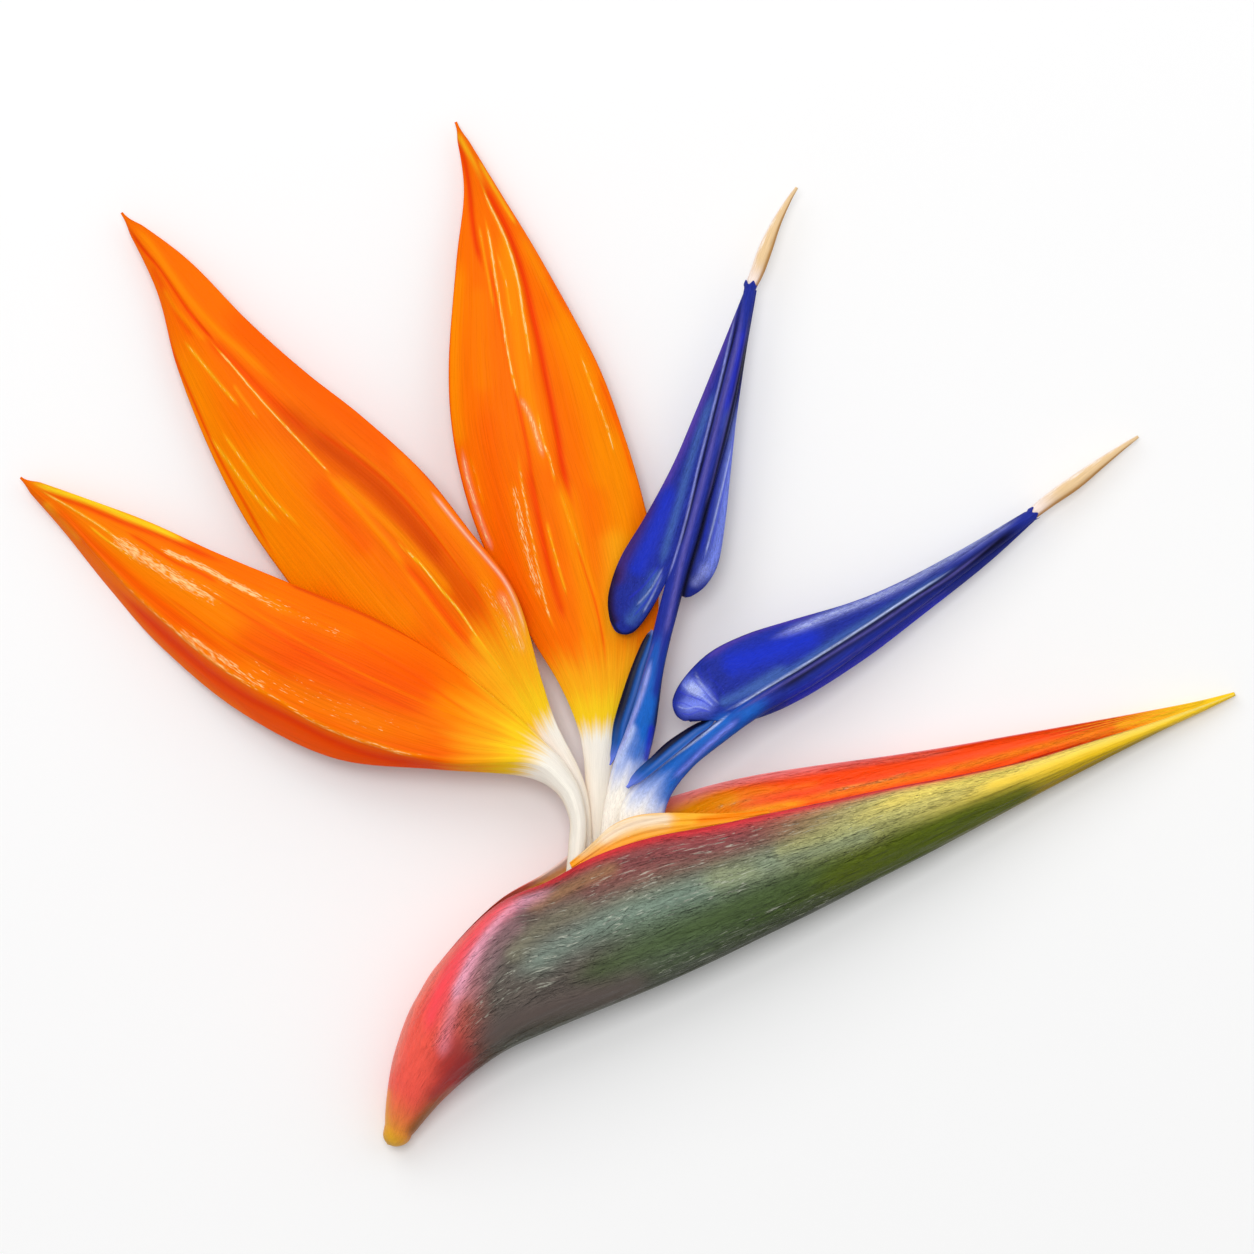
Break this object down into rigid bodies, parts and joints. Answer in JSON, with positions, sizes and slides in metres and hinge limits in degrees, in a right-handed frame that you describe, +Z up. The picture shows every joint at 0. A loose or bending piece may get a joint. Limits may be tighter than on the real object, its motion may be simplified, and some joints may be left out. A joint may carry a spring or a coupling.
{
  "type": "bird of paradise flower head",
  "caption": "Cut bird of paradise flower head lying on its side: boat-shaped beaked bract with orange sepals and blue arrow petals rising from its trough; a decorative bloom.",
  "frame": {"origin": "middle of the small flat spot under the bract, on the surface that the flower lies on", "axes": "+X along the beak towards its tip, +Y towards the petals, +Z up from the surface"},
  "size_m": [0.228, 0.1919, 0.0222],
  "materials": {
    "spathe": "satin",
    "bracteole": "satin",
    "ovary": "matte",
    "sepal": "satin",
    "arrow": "satin",
    "style": "satin",
    "nectar_petal": "satin"
  },
  "bodies": {
    "root": {"spathe": "spathe", "bracteole": "bracteole", "ovary_first": "ovary", "ovary_second": "ovary", "sepal_left": "sepal", "sepal_middle": "sepal", "sepal_upper": "sepal", "arrow_upper": "arrow", "arrow_right": "arrow", "style_upper": "style", "style_right": "style", "nectar_petal_upper": "nectar_petal", "nectar_petal_right": "nectar_petal"}
  },
  "joints": []
}
